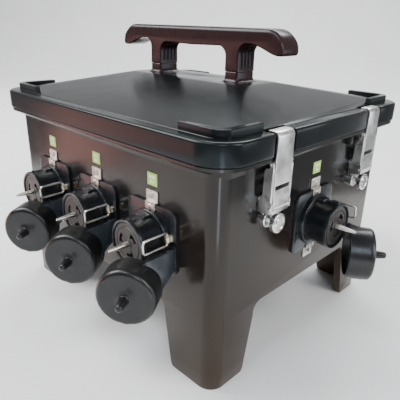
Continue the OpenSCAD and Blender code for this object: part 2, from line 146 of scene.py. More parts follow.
class Nodes:
    """A short way to write a node tree."""

    def __init__(self, name):
        self.material = bpy.data.materials.new(name)
        self.material.use_nodes = True
        self.tree = self.material.node_tree
        self.shader = self.tree.nodes["Principled BSDF"]
        self.place = self.add("ShaderNodeTexCoord").outputs["Object"]

    def put(self, socket, value):
        """Links a socket to another node's output, or sets its value."""
        if isinstance(value, bpy.types.NodeSocket):
            self.tree.links.new(value, socket)
        else:
            socket.default_value = value

    def add(self, kind, inputs=None, **settings):
        node = self.tree.nodes.new(kind)
        for key, value in settings.items():
            setattr(node, key, value)
        for key, value in (inputs or {}).items():
            self.put(node.inputs[key], value)
        return node

    def noise(self, scale, detail=3.0, stretch=(1, 1, 1), distortion=0.0):
        mapping = self.add("ShaderNodeMapping", {"Scale": stretch, "Vector": self.place})
        inputs = {"Scale": scale, "Detail": detail, "Distortion": distortion}
        inputs["Vector"] = mapping.outputs["Vector"]
        return self.add("ShaderNodeTexNoise", inputs).outputs["Fac"]

    def remap(self, source, low, high, to_low=0, to_high=1):
        inputs = {"From Min": low, "From Max": high, "To Min": to_low, "To Max": to_high, "Value": source}
        return self.add("ShaderNodeMapRange", inputs, clamp=True).outputs["Result"]

    def math(self, operation, first, second):
        return self.add("ShaderNodeMath", {0: first, 1: second}, operation=operation).outputs["Value"]

    def times(self, source, factor):
        return self.math("MULTIPLY", source, factor)

    def mix(self, factor, first, second):
        """Blends two colours, each a tuple or another node's output."""
        first, second = ((*c, 1) if isinstance(c, tuple) else c for c in (first, second))
        inputs = {"Factor": factor, 6: first, 7: second}
        return self.add("ShaderNodeMix", inputs, data_type="RGBA").outputs[2]

    def bump(self, height, strength, distance, under=None):
        inputs = {"Strength": strength, "Distance": distance, "Height": height}
        if under is not None:
            inputs["Normal"] = under
        return self.add("ShaderNodeBump", inputs).outputs["Normal"]

    def height(self):
        """Metres above the floor."""
        return self.add("ShaderNodeSeparateXYZ", {"Vector": self.place}).outputs["Z"]

    def edges(self, low, high):
        """1 on outer edges, where a moulding or a metal part wears first."""
        return self.remap(self.add("ShaderNodeNewGeometry").outputs["Pointiness"], low, high)

    def finish(self, color, roughness, normal, metallic=0.0, specular=0.5, sheen=0.0):
        inputs = {"Base Color": color, "Roughness": roughness, "Normal": normal, "Metallic": metallic}
        inputs.update({"Specular IOR Level": specular, "Sheen Weight": sheen, "Sheen Roughness": 0.4})
        for key, value in inputs.items():
            self.put(self.shader.inputs[key], value)
        return self.material


def paler(color, gain, lift=0.0):
    return tuple(min(1, gain * c + lift) for c in color)


def plastic(
    name, dark, light, rough_low, rough_high,
    grain=0.12, specular=0.5, scratch=0.35, glow=(1, 1, 1), wave=0.06, painted_low_reflection=None,
):
    """Moulded plastic: drifting tone, uneven gloss, fine grain, hairline scratches, and a painted warm
    reflection low down.
    """
    nodes = Nodes(name)
    drift = nodes.noise(9, 4)
    patches = nodes.noise(42, 5, distortion=0.6)
    hairs = nodes.remap(nodes.noise(60, 6, stretch=(1, 1, 14)), 0.66, 0.74)
    cross_hairs = nodes.remap(nodes.noise(75, 6, stretch=(9, 1, 1)), 0.68, 0.76)
    scratches = nodes.math("MAXIMUM", hairs, cross_hairs)
    color = nodes.mix(nodes.remap(drift, 0.35, 0.7), dark, light)
    # Lighter and warmer towards the bottom: a painted reflection of a warm floor.
    if painted_low_reflection is not None:
        uneven = nodes.times(nodes.math("SUBTRACT", drift, 0.5), 0.2)
        height = nodes.math("ADD", nodes.height(), uneven)
        color = nodes.mix(nodes.remap(height, 0.02, 0.19), painted_low_reflection, color)
    worn = nodes.times(nodes.edges(0.53, 0.6), 0.35)
    color = nodes.mix(worn, color, paler(light, 3.2, 0.02))
    rough = nodes.remap(patches, 0.3, 0.75, rough_low, rough_high)
    rough = nodes.math("ADD", rough, nodes.times(scratches, scratch * 0.25))
    normal = nodes.bump(nodes.noise(1500, 2), grain, 0.0001)
    normal = nodes.bump(scratches, 0.05, 0.00004, normal)
    normal = nodes.bump(nodes.noise(7, 1), wave, 0.002, normal)
    nodes.shader.inputs["Specular Tint"].default_value = (*glow, 1)
    return nodes.finish(color, rough, normal, specular=specular)


def rubber(name, dark, light, rough_low, rough_high):
    """Moulded rubber: chalky bloom, soft sheen and a pebbled grain."""
    nodes = Nodes(name)
    bloom = nodes.noise(55, 6, distortion=0.8)
    color = nodes.mix(nodes.remap(bloom, 0.42, 0.72), dark, light)
    specks = nodes.times(nodes.remap(nodes.noise(420, 3), 0.66, 0.74), 0.5)
    color = nodes.mix(specks, color, paler(light, 4))
    rough = nodes.remap(nodes.noise(90, 4), 0.3, 0.7, rough_low, rough_high)
    normal = nodes.bump(nodes.noise(900, 3), 0.15, 0.0001)
    normal = nodes.bump(nodes.noise(60, 3), 0.06, 0.0004, normal)
    return nodes.finish(color, rough, normal, specular=0.42, sheen=0.03)


def metal(
    name, dark, light, rough_low, rough_high,
    brushed=(1, 1, 30), tarnish=(0.25, 0.2, 0.14), stain=0.25,
):
    """Plate or wire: brushed grain, cloudy gloss, small stains and bright edges."""
    nodes = Nodes(name)
    grain = nodes.noise(220, 4, stretch=brushed)
    cloud = nodes.noise(85, 4, distortion=0.5)
    color = nodes.mix(nodes.remap(cloud, 0.35, 0.7), dark, light)
    spots = nodes.times(nodes.remap(nodes.noise(240, 4), 0.58, 0.72), stain)
    color = nodes.mix(spots, color, tarnish)
    color = nodes.mix(nodes.times(nodes.edges(0.52, 0.58), 0.5), color, (0.95, 0.94, 0.92))
    rough = nodes.remap(cloud, 0.3, 0.7, rough_low, rough_high)
    rough = nodes.math("ADD", rough, nodes.times(grain, 0.08))
    normal = nodes.bump(grain, 0.16, 0.00008)
    normal = nodes.bump(cloud, 0.04, 0.0002, normal)
    return nodes.finish(color, rough, normal, metallic=1.0)


def film(name, dark, light):
    """Printed film: fine print grain, slight fading and an uneven gloss."""
    nodes = Nodes(name)
    color = nodes.mix(nodes.remap(nodes.noise(160, 4), 0.35, 0.7), dark, light)
    faded = nodes.times(nodes.remap(nodes.noise(700, 2), 0.6, 0.75), 0.3)
    color = nodes.mix(faded, color, (0.8, 0.85, 0.7))
    rough = nodes.remap(nodes.noise(120, 3), 0.3, 0.7, 0.3, 0.48)
    normal = nodes.bump(nodes.noise(350, 3), 0.15, 0.0001)
    return nodes.finish(color, rough, normal)


LID_PLASTIC = plastic(
    "lid_plastic", (0.005, 0.0061, 0.0065), (0.0075, 0.009, 0.0095), 0.2, 0.25,
    specular=0.2, scratch=0.05, glow=(0.86, 0.98, 1.0), wave=0.012,
)
# The tub's low tone is a painted warm floor reflection on the lower walls and legs.
TUB_PLASTIC = plastic(
    "tub_plastic", (0.0055, 0.0055, 0.006), (0.009, 0.0088, 0.0092), 0.15, 0.22, grain=0.06,
    specular=0.36, scratch=0.3, glow=(1.0, 0.92, 0.83), wave=0.03, painted_low_reflection=(0.03, 0.017, 0.0095),
)
# The reddish tint of the handle colour is a painted warm reflection.
HANDLE_PLASTIC = plastic(
    "handle_plastic", (0.02, 0.007, 0.0067), (0.03, 0.0105, 0.01), 0.22, 0.32,
    grain=0.15, specular=0.3, glow=(0.8, 0.92, 1.0),
)
OUTLET_PLASTIC = plastic(
    "outlet_plastic", (0.006, 0.0063, 0.0072), (0.011, 0.0115, 0.013), 0.24, 0.34,
    specular=0.55, glow=(0.84, 0.93, 1.0),
)
INSERT_PLASTIC = plastic("insert_plastic", (0.02, 0.018, 0.016), (0.035, 0.031, 0.028), 0.42, 0.58, grain=0.5)
CAP_RUBBER = rubber("cap_rubber", (0.006, 0.006, 0.0064), (0.012, 0.012, 0.0126), 0.26, 0.35)
# The tether's lighter, bluer tone is partly painted sheen on a blue-grey rubber.
TETHER_RUBBER = rubber("tether_rubber", (0.018, 0.0215, 0.0265), (0.032, 0.039, 0.048), 0.26, 0.38)
GASKET_RUBBER = rubber("gasket_rubber", (0.014, 0.014, 0.014), (0.026, 0.026, 0.026), 0.6, 0.75)
STAINLESS = metal(
    "stainless", (0.68, 0.67, 0.65), (0.84, 0.83, 0.81), 0.22, 0.32,
    tarnish=(0.45, 0.43, 0.4), stain=0.06,
)
DISC_STEEL = metal(
    "disc_steel", (0.7, 0.69, 0.67), (0.9, 0.89, 0.87), 0.16, 0.26,
    brushed=(4, 4, 4), stain=0.06,
)
WIRE_STEEL = metal("wire_steel", (0.55, 0.5, 0.43), (0.78, 0.74, 0.67), 0.22, 0.36, brushed=(3, 3, 3))
PLATED_STEEL = metal("plated_steel", (0.42, 0.41, 0.38), (0.62, 0.6, 0.56), 0.28, 0.42, brushed=(2, 2, 2))
ZINC = metal(
    "zinc", (0.56, 0.51, 0.42), (0.82, 0.78, 0.69), 0.34, 0.5,
    brushed=(2, 2, 2), tarnish=(0.36, 0.21, 0.11), stain=0.6,
)
COPPER = metal(
    "copper", (0.5, 0.28, 0.15), (0.78, 0.5, 0.32), 0.28, 0.42,
    brushed=(3, 3, 3), tarnish=(0.2, 0.1, 0.06),
)
BRASS = metal(
    "brass", (0.42, 0.3, 0.13), (0.68, 0.52, 0.26), 0.26, 0.42,
    brushed=(3, 3, 3), tarnish=(0.18, 0.11, 0.05),
)
LABEL_GREEN = film("label_green", (0.3, 0.55, 0.07), (0.45, 0.72, 0.12))
LABEL_WHITE = film("label_white", (0.72, 0.75, 0.68), (0.86, 0.88, 0.82))
GEAR_PLASTIC = plastic(
    "gear_plastic", (0.5, 0.51, 0.5), (0.62, 0.63, 0.61), 0.35, 0.5, grain=0.3, scratch=0.2,
)
LEVER_PLASTIC = plastic("lever_plastic", (0.015, 0.015, 0.016), (0.03, 0.03, 0.032), 0.3, 0.45)
BUTTON_PLASTIC = plastic("button_plastic", (0.6, 0.42, 0.05), (0.75, 0.55, 0.1), 0.3, 0.45)


# ---- Mesh helpers ----

def add_object(name, data):
    thing = bpy.data.objects.new(name, data)
    bpy.context.scene.collection.objects.link(thing)
    return thing


def baked(name, model):
    """A bmesh becomes a mesh and is freed."""
    mesh = bpy.data.meshes.new(name)
    model.to_mesh(mesh)
    model.free()
    return mesh


def smooth(mesh, degrees):
    """Smooth shading, with creases where faces meet at more than this angle."""
    limit = math.radians(degrees)
    model = bmesh.new()
    model.from_mesh(mesh)
    for face in model.faces:
        face.smooth = True
    for edge in model.edges:
        edge.smooth = len(edge.link_faces) == 2 and edge.calc_face_angle(0) < limit
    model.to_mesh(mesh)
    model.free()


def piece(name, model, material, body, replaced=(), crease=32):
    """A bmesh becomes a named piece of the object, riding on a body."""
    bmesh.ops.recalc_face_normals(model, faces=model.faces)
    mesh = baked(name, model)
    smooth(mesh, crease)
    mesh.materials.append(material)
    thing = add_object(name, mesh)
    if replaced:
        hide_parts(*replaced)
    if body:
        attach(thing, body)
    return thing


def merge(target, source, matrix=None):
    """Adds one bmesh to another and frees it."""
    if matrix is not None:
        source.transform(matrix)
    mesh = baked("part", source)
    target.from_mesh(mesh)
    bpy.data.meshes.remove(mesh)
    return target


def outlet_set(name, build, outlets, material, slot, node, crease):
    """A piece of one shape built again at each of these outlets."""
    model = bmesh.new()
    for index in outlets:
        merge(model, build(), outlet_matrix(index))
    piece(name, model, material, "base", (node,), crease)


def sharp_edges(model, degrees):
    """The edges where two faces meet at more than this angle."""
    limit = math.radians(degrees)
    return [e for e in model.edges if len(e.link_faces) == 2 and e.calc_face_angle(0) > limit]


def bevel(model, edges, width, segments):
    bmesh.ops.bevel(
        model, geom=edges, offset=width, offset_type="OFFSET", segments=segments,
        profile=0.5, affect="EDGES", clamp_overlap=True,
    )


def round_edges(model, width, segments=2, degrees=28):
    """Rounds every edge sharper than this angle."""
    bevel(model, sharp_edges(model, degrees), width, segments)
    return model


def from_node(node):
    """A copy of a CAD node's mesh, its flat faces joined up again."""
    model = bmesh.new()
    model.from_mesh(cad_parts[node].data)
    bmesh.ops.remove_doubles(model, verts=model.verts, dist=0.000004)
    bmesh.ops.dissolve_limit(
        model, angle_limit=math.radians(1.5), verts=model.verts, edges=model.edges, delimit={"NORMAL"},
    )
    return model


def refined(node, material, body, width, segments=2):
    """A CAD node with its edges rounded as a moulding's or a pressing's are."""
    model = round_edges(from_node(node), width, segments)
    piece(f"{node}_skin", model, material, body, (node,))


def cut(model, tool, matrix=None):
    """model minus tool, which matrix puts in place first. Both bmeshes are freed."""
    if matrix is not None:
        tool.transform(matrix)
    things = []
    for name, part in (("base", model), ("tool", tool)):
        bmesh.ops.recalc_face_normals(part, faces=part.faces)
        things.append(add_object(name, baked(name, part)))
    base, other = things
    modifier = base.modifiers.new("cut", "BOOLEAN")
    modifier.operation = "DIFFERENCE"
    modifier.solver = "EXACT"
    modifier.object = other
    graph = bpy.context.evaluated_depsgraph_get()
    result = bmesh.new()
    result.from_mesh(base.evaluated_get(graph).to_mesh())
    for thing in things:
        mesh = thing.data
        bpy.data.objects.remove(thing)
        bpy.data.meshes.remove(mesh)
    bmesh.ops.remove_doubles(result, verts=result.verts, dist=0.000002)
    return result


def mm(points):
    """Points given in millimetres."""
    return [tuple(value * MM for value in point) for point in points]


def rounded_outline(half_x, half_y, radius, steps=8):
    """Points of a rounded rectangle, counter-clockwise."""
    points = []
    for quarter, (sx, sy) in enumerate(((1, 1), (-1, 1), (-1, -1), (1, -1))):
        middle = Vector((sx * (half_x - radius), sy * (half_y - radius)))
        for k in range(steps + 1):
            angle = math.radians(90 * (quarter + k / steps))
            points.append(middle + radius * Vector((math.cos(angle), math.sin(angle))))
    return points


def level_ring(half_x, half_y, radius, z):
    """A rounded rectangle round the box's middle, at height z."""
    return [Vector((MIDDLE_X + p.x, p.y, z)) for p in rounded_outline(half_x, half_y, radius, 12)]


def drawn_in(ring, z):
    """A level ring shrunk nearly to a point, which closes a floor."""
    middle = Vector((MIDDLE_X, 0, z))
    return [middle + (p - middle) * 0.01 for p in ring]


def arc(cx, cy, radius, start, end, steps=5):
    """Points of an arc in a profile, with angles in degrees."""
    result = []
    for k in range(steps + 1):
        angle = math.radians(start + (end - start) * k / steps)
        result.append((cx + radius * math.cos(angle), cy + radius * math.sin(angle)))
    return result


def bezier(start, lead, tail, end, t):
    """A cubic curve's point at t, from 0 to 1."""
    return (1 - t) ** 3 * start + 3 * (1 - t) ** 2 * t * lead + 3 * (1 - t) * t * t * tail + t ** 3 * end


def loft(rings, joined=False):
    """A skin through rings of equal length, closed at both ends or with the last ring joined to the first."""
    model = bmesh.new()
    rows = [[model.verts.new(p) for p in ring] for ring in rings]
    count = len(rows[0])
    pairs = list(zip(rows, rows[1:])) + ([(rows[-1], rows[0])] if joined else [])
    for one, two in pairs:
        for k in range(count):
            n = (k + 1) % count
            model.faces.new((one[k], one[n], two[n], two[k]))
    if not joined:
        model.faces.new(list(reversed(rows[0])))
        model.faces.new(rows[-1])
    return model


def lathe(profile, segments, closed=False):
    """A turned solid about the Y axis. profile is (radius, y) from one end on the axis to the other."""
    model = bmesh.new()
    rows = []
    for radius, y in profile:
        if radius < 1e-7:
            rows.append([model.verts.new((0, y, 0))])
            continue
        row = []
        for k in range(segments):
            angle = 2 * math.pi * k / segments
            row.append(model.verts.new((radius * math.cos(angle), y, radius * math.sin(angle))))
        rows.append(row)
    pairs = list(zip(rows, rows[1:])) + ([(rows[-1], rows[0])] if closed else [])
    for one, two in pairs:
        for k in range(segments):
            n = (k + 1) % segments
            around = [one[k % len(one)], one[n % len(one)], two[n % len(two)], two[k % len(two)]]
            around = list(dict.fromkeys(around))
            if len(around) > 2:
                model.faces.new(around)
    return model


def prism(outline, low, high, width=0.0, segments=2):
    """An outline in XY made solid from z low to z high, with its rims rounded by width."""
    model = loft([[(x, y, z) for x, y in outline] for z in (low, high)])
    if width:
        rims = [e for e in model.edges if abs(e.verts[0].co.z - e.verts[1].co.z) < 1e-9]
        bevel(model, rims, width, segments)
    return model


def block(low, high, width=0.0, segments=2):
    """A box between two corners with rounded edges."""
    model = bmesh.new()
    middle = (Vector(low) + Vector(high)) / 2
    size = Vector(high) - Vector(low)
    place = moved(middle) @ Matrix.Diagonal((*size, 1))
    bmesh.ops.create_cube(model, size=1, matrix=place)
    return round_edges(model, width, segments) if width else model


def wire_loop(points, radius, sides):
    """A round wire along a closed loop of points."""
    rings = []
    across = None
    for k, point in enumerate(points):
        along = (points[(k + 1) % len(points)] - points[k - 1]).normalized()
        if across is None:
            across = along.orthogonal().normalized()
        else:
            across = (across - along * across.dot(along)).normalized()
        up = along.cross(across)
        ring = []
        for s in range(sides):
            angle = 2 * math.pi * s / sides
            ring.append(point + radius * (math.cos(angle) * across + math.sin(angle) * up))
        rings.append(ring)
    return loft(rings, joined=True)


# ---- Tub ----

def wall_ring(outset, z):
    """The tub's outline grown by outset, at height z."""
    return level_ring(WALL_X + outset, WALL_Y + outset, max(WALL_RADIUS + outset, 2 * MM), z)


def leg_opening(half_top, half_bottom):
    """The gap between two legs as an outline (across, up), with rounded upper corners."""
    radius = 12 * MM
    slope = math.atan2(half_bottom - half_top, LEG_HEIGHT)
    centre = half_top + math.tan(slope) * radius - radius / math.cos(slope)
    points = arc(centre, LEG_HEIGHT - radius, radius, 90, -math.degrees(slope), 8)
    toe = 5 * MM
    points += [(half_bottom - toe * 0.15, toe * 1.1), (half_bottom + toe * 0.35, toe * 0.25)]
    points += [(half_bottom + toe * 1.3, -0.02 * MM), (half_bottom + 2 * toe, -30 * MM)]
    return points + [(-x, z) for x, z in reversed(points)]


def tub_rings():
    """The tub's section as rings: up the outside, over the flange, down the inside, under the floor."""
    flange, fillet = 14.5 * MM, 9 * MM
    top, floor = RIM_LOW - 5 * MM, LEG_HEIGHT + WALL
    rows = [(-0.9 * MM, 0.0), (-0.3 * MM, 0.35 * MM), (0.0, 1.2 * MM)]
    rows += [(0.0, z * MM) for z in (20, 50, LEG_HEIGHT / MM, 120, 170, 220, 238)]
    rows += arc(fillet, top - fillet, fillet, 180, 90, 6)[1:]
    rows += [(flange - 1 * MM, top), (flange, top + 1 * MM), (flange, RIM_LOW - 1.2 * MM)]
    rows += [(flange - 0.9 * MM, RIM_LOW - 0.3 * MM), (-WALL + 0.6 * MM, RIM_LOW - 0.3 * MM)]
    rows += [(-WALL, RIM_LOW - 0.9 * MM), (-WALL, floor + 3 * MM), (-WALL - 3 * MM, floor)]
    rings = [wall_ring(outset, z) for outset, z in rows]
    rings.append(drawn_in(rings[-1], floor))
    rings.append(drawn_in(wall_ring(-LEG_THICKNESS, LEG_HEIGHT), LEG_HEIGHT))
    inner, chamfer = -LEG_THICKNESS, 3 * MM
    under = ((inner - chamfer, LEG_HEIGHT), (inner, LEG_HEIGHT - chamfer), (inner, 0.0))
    return rings + [wall_ring(outset, z) for outset, z in under]


def make_tub():
    model = loft(tub_rings(), joined=True)
    to_y = Matrix(((1, 0, 0, MIDDLE_X), (0, 0, 1, 0), (0, 1, 0, 0), (0, 0, 0, 1)))
    to_x = Matrix(((0, 0, 1, MIDDLE_X), (1, 0, 0, 0), (0, 1, 0, 0), (0, 0, 0, 1)))
    for half_top, half_bottom, turn in ((113 * MM, 126 * MM, to_y), (97 * MM, 112 * MM, to_x)):
        model = cut(model, prism(leg_opening(half_top, half_bottom), -0.3, 0.3), turn)
    for index in range(1, 5):
        notch = block((NOTCH_BACK, -NOTCH_HALF, RIM_LOW - 14 * MM), (30 * MM, NOTCH_HALF, RIM_LOW + 10 * MM))
        model = cut(model, notch, latch_matrix(index))
    low_edges = [e for e in sharp_edges(model, 50) if max(v.co.z for v in e.verts) < LEG_HEIGHT + 1 * MM]
    bevel(model, low_edges, 0.9 * MM, 3)
    for side in (-1, 1):
        for across in (-1, 1):
            low, high = (-3 * MM, -3 * MM, RIM_LOW - 20 * MM), (5.5 * MM, 3 * MM, RIM_LOW - 4 * MM)
            place = Vector((MIDDLE_X + side * WALL_X, across * (LATCH_Y - 25 * MM), 0))
            place = moved(place) @ Matrix.Diagonal((side, 1, 1, 1))
            merge(model, block(low, high, 1 * MM, 3), place)
    piece("tub_shell", model, TUB_PLASTIC, "base", ("tub",), crease=24)


# ---- Lid ----

def rim_ring(shrink, z):
    """The lid's outer outline made smaller by shrink."""
    return level_ring(HALF_LENGTH - shrink, HALF_WIDTH - shrink, RIM_RADIUS - shrink, z)


def lid_rings():
    """The lid's section as rings: rim, slope and platform outside, then the same inside."""
    inset, edge, slope_steps = 14 * MM, 3 * MM, 7
    foot_x, foot_y, foot_radius = HALF_LENGTH - inset, HALF_WIDTH - inset, RIM_RADIUS - inset
    rings = [rim_ring(shrink * MM, RIM_LOW + lift * MM) for shrink, lift in ((1, 0), (0.2, 0.8), (0, 2))]
    rings += [rim_ring(shrink, z) for shrink, z in arc(edge, RIM_HIGH - edge, edge, 180, 90)]
    for grow, soften, lift in ((2, 2, 0), (0.5, 1, 0.15), (0, 0, 0.6)):
        half_x, half_y = foot_x + grow * MM, foot_y + grow * MM
        rings.append(level_ring(half_x, half_y, foot_radius + soften * MM, RIM_HIGH + lift * MM))
    for k in range(1, slope_steps):
        share = k / slope_steps
        rings.append(level_ring(
            foot_x + (PLATFORM_X + 1 * MM - foot_x) * share,
            foot_y + (PLATFORM_Y + 1 * MM - foot_y) * share,
            foot_radius + (9 * MM - RIM_RADIUS + inset) * share,
            RIM_HIGH + 0.6 * MM + (PLATFORM_Z - RIM_HIGH - 0.9 * MM) * share,
        ))
    under = PLATFORM_Z - WALL
    rings.append(level_ring(PLATFORM_X + 1 * MM, PLATFORM_Y + 1 * MM, 9 * MM, PLATFORM_Z - 0.3 * MM))
    rings.append(level_ring(PLATFORM_X - 0.6 * MM, PLATFORM_Y - 0.6 * MM, 8 * MM, PLATFORM_Z))
    rings += [level_ring(1 * MM, 1 * MM, 0.9 * MM, z) for z in (PLATFORM_Z, under)]
    rings.append(level_ring(PLATFORM_X - 1 * MM, PLATFORM_Y - 1 * MM, 8 * MM, under))
    rings.append(level_ring(foot_x - 4 * MM, foot_y - 4 * MM, 14 * MM, RIM_HIGH - 4 * MM))
    return rings + [rim_ring(5 * MM, RIM_HIGH - 4.5 * MM), rim_ring(4 * MM, RIM_LOW)]


def corner_ridge():
    """An L-shaped stacking ridge with a rounded elbow, for the +X +Y corner."""
    outer_x, outer_y = HALF_LENGTH - 14 * MM, HALF_WIDTH - 15.5 * MM
    reach, width, elbow = 55 * MM, 7 * MM, 14 * MM
    cx, cy = outer_x - elbow, outer_y - elbow
    points = [(outer_x - reach, outer_y)] + arc(cx, cy, elbow, 90, 0, 8)
    points += [(outer_x, outer_y - reach), (outer_x - width, outer_y - reach)]
    points += arc(cx, cy, elbow - width, 0, 90, 6) + [(outer_x - reach, outer_y - width)]
    return prism(list(reversed(points)), RIM_HIGH - 2 * MM, RIM_HIGH + 8 * MM, 1.2 * MM, 3)


def make_lid():
    model = loft(lid_rings(), joined=True)
    for index in range(1, 5):
        place = latch_matrix(index)
        slot = block((NOTCH_BACK, -NOTCH_HALF, RIM_LOW - 2 * MM), (30 * MM, NOTCH_HALF, RIM_HIGH + 12 * MM))
        pocket = block((0, -NOTCH_HALF, RIM_HIGH - 5 * MM), (30 * MM, NOTCH_HALF, RIM_HIGH + 12 * MM))
        model = cut(cut(model, slot, place), pocket, place)
        low, high = (-3 * MM, -19 * MM, RIM_LOW + 6 * MM), (12.4 * MM, 19 * MM, RIM_HIGH - 5.05 * MM)
        merge(model, block(low, high, 0.6 * MM), place)
    bevel(model, sharp_edges(model, 55), 0.7 * MM, 2)
    for mirror_x in (1, -1):
        for mirror_y in (1, -1):
            merge(model, corner_ridge(), TO_MIDDLE @ Matrix.Diagonal((mirror_x, mirror_y, 1, 1)))
    piece("lid_shell", model, LID_PLASTIC, "lid", ("lid",), crease=24)


# ---- Handle ----

def handle_outline():
    """The handle seen from the long side, as (x, z) points from the left post's seat round the top."""
    top = HANDLE_HIGH.z
    seat = HANDLE_LOW.z + 12.1 * MM
    tip = (HANDLE_HIGH.x - HANDLE_LOW.x) / 2
    inner, outer = POST_X - 10 * MM, POST_X + 10 * MM
    arch, lip = top - 17 * MM, top - 28 * MM
    right = [(inner, seat), (outer, seat), (outer, (seat + arch) / 2)]
    right += arc(outer + 12 * MM, arch - 12 * MM, 12 * MM, 180, 90, 8)
    start, end = Vector((outer + 14 * MM, arch)), Vector((tip - 8 * MM, lip))
    lead, tail = start + Vector((16, 0)) * MM, end + Vector((-14, 2)) * MM
    right += [tuple(bezier(start, lead, tail, end, k / 8)) for k in range(1, 9)]
    right += arc(tip - 4 * MM, lip + 4 * MM, 4 * MM, 285, 345, 4)
    right += arc(tip - 24 * MM, top - 24 * MM, 24 * MM, 0, 90, 12)
    left = [(-x, z) for x, z in reversed(right)]
    belly = arc(-inner + 12 * MM, top - 33 * MM, 12 * MM, 180, 90, 8)
    sag = [(-20 * MM, top - 21.6 * MM), (0, top - 22 * MM), (20 * MM, top - 21.6 * MM)]
    return right + left + belly + sag + [(-x, z) for x, z in reversed(belly)]


def soft_prism(outline, half, width_at, steps=5):
    """An outline in XZ made solid from -half to half along Y. Its rims are rounded by width_at(x, z)."""
    count = len(outline)
    inward = []
    for k, point in enumerate(outline):
        along = Vector(outline[(k + 1) % count]) - Vector(outline[k - 1])
        inward.append(Vector((-along.y, along.x)).normalized())
    front = []
    for step in range(steps + 1):
        angle = math.radians(90 * step / steps)
        ring = []
        for point, normal in zip(outline, inward):
            width = width_at(*point)
            spot = Vector(point) + normal * width * (1 - math.sin(angle))
            ring.append(Vector((spot.x, -half + width * (1 - math.cos(angle)), spot.y)))
        front.append(ring)
    back = [[Vector((p.x, -p.y, p.z)) for p in ring] for ring in reversed(front)]
    model = loft(front + back)
    model.normal_update()
    bmesh.ops.triangulate(model, faces=[f for f in model.faces if len(f.verts) > 4], ngon_method="EAR_CLIP")
    return model


def handle_softness(x, z):
    """The grip is well rounded on top and at its ends; the posts have nearly sharp edges."""
    depth = HANDLE_HIGH.z - z
    top = min(1.0, max(0.0, (14 * MM - depth) / (8 * MM)))
    end = min(1.0, max(0.0, (abs(x) - 0.1) / 0.02))
    return (1.6 + 3.6 * top + 0.8 * end * (1 - top)) * MM


def handle_foot():
    """The foot of a handle post, flared where it meets the lid."""
    flare = [(5.0, 0.05), (3.0, 0.5), (1.4, 1.5), (0.5, 3.0), (0.1, 5.0), (0.1, 11.2), (-0.4, 11.8)]
    rings = []
    for grow, z in flare + [(-1.2, 11.9)]:
        outline = rounded_outline((10 + grow) * MM, (16 + grow) * MM, (2.6 + max(grow, 0)) * MM, 5)
        rings.append([Vector((p.x, p.y, PLATFORM_Z + z * MM)) for p in outline])
    return loft(rings)


def make_handle():
    model = soft_prism(handle_outline(), (HANDLE_HIGH.y - HANDLE_LOW.y) / 2, handle_softness)
    model.transform(TO_MIDDLE)
    low, high = HANDLE_LOW.z + 16 * MM, HANDLE_HIGH.z - 26 * MM
    turn = [2 * math.pi * k / 12 for k in range(12)]
    for side in (-1, 1):
        for face in (-1, 1):
            x = MIDDLE_X + side * POST_X + face * 10.6 * MM
            for row in (-1.5, -0.5, 0.5, 1.5):
                outline = [(x + 2.3 * MM * math.cos(a), (row * 6.2 + 2.2 * math.sin(a)) * MM) for a in turn]
                model = cut(model, prism(outline, low, high, 1.2 * MM, 2))
        merge(model, handle_foot(), moved((MIDDLE_X + side * POST_X, 0, 0)))
    piece("handle_grip", model, HANDLE_PLASTIC, "lid", ("handle",), crease=30)


# ---- Outlets ----

def flange_plate():
    plate = prism(rounded_outline(38 * MM, 36 * MM, 9 * MM, 7), 0.0, PLATE, 0.45 * MM, 2)
    plate.transform(STANDING)
    return plate


def barrel():
    """The turned body of an outlet: shoulder, waist line, rolled front rim and recess."""
    R, L = BARREL_RADIUS, BARREL_LENGTH
    floor = 24.2 * MM
    profile = mm([(0, -2), (30.4, -2), (30.4, -3.6), (29.9, -6.4)])
    profile += arc(28.4 * MM, -7.2 * MM, 1.4 * MM, 0, -80, 4)
    profile += [(R - 0.3 * MM, -9.4 * MM), (R - 0.3 * MM, -L * 0.8), (R, -L * 0.82)]
    profile += arc(R - 0.8 * MM, -L + 0.8 * MM, 0.8 * MM, 0, -90, 4)
    profile += [(R - 2.2 * MM, -L), (R - 2.8 * MM, -L + 0.8 * MM), (R - 2.8 * MM, -floor), (0, -floor)]
    return lathe(profile, 72)


def key_rib():
    """The raised arch that keys a cap or plug to the barrel."""
    rings = []
    for y, lift in ((-9.4, 1.6), (-10.2, 2.3), (-16.5, 2.1), (-17.4, 1.7), (-17.8, 0.2)):
        outer = arc(0, 0, BARREL_RADIUS + lift * MM, 76, 104, 8)
        inner = arc(0, 0, BARREL_RADIUS - 1.5 * MM, 104, 76, 8)
        rings.append([Vector((x, y * MM, z)) for x, z in outer + inner])
    return round_edges(loft(rings), 0.35 * MM, 2, 40)


def make_housing(index):
    node = f"outlet_housing_{index}" if index <= 4 else "inlet_housing"
    model = flange_plate()
    merge(model, barrel())
    merge(model, key_rib())
    bump = lathe(mm([(0, -2.2), (1.2, -2.0), (1.8, -1), (1.9, 1), (0, 1)]), 16)
    place = moved((0, -BARREL_LENGTH + 3.4 * MM, BARREL_RADIUS))
    merge(model, bump, place @ turned(-90, "X"))
    model.transform(outlet_matrix(index))
    piece(f"{node}_body", model, OUTLET_PLASTIC, "base", (node,), crease=30)


def arc_slot(start):
    """A curved contact slot with one wider end."""
    outer, inner, wide_inner = 14.4 * MM, 10.6 * MM, 8.2 * MM
    end, wide_from, narrow_from = start + 48, start + 36, start + 30
    points = arc(0, 0, outer, start, end, 8)
    points += arc(0, 0, wide_inner, end, wide_from, 2) + arc(0, 0, inner, narrow_from, start)
    return prism(points, 27 * MM, 40 * MM)


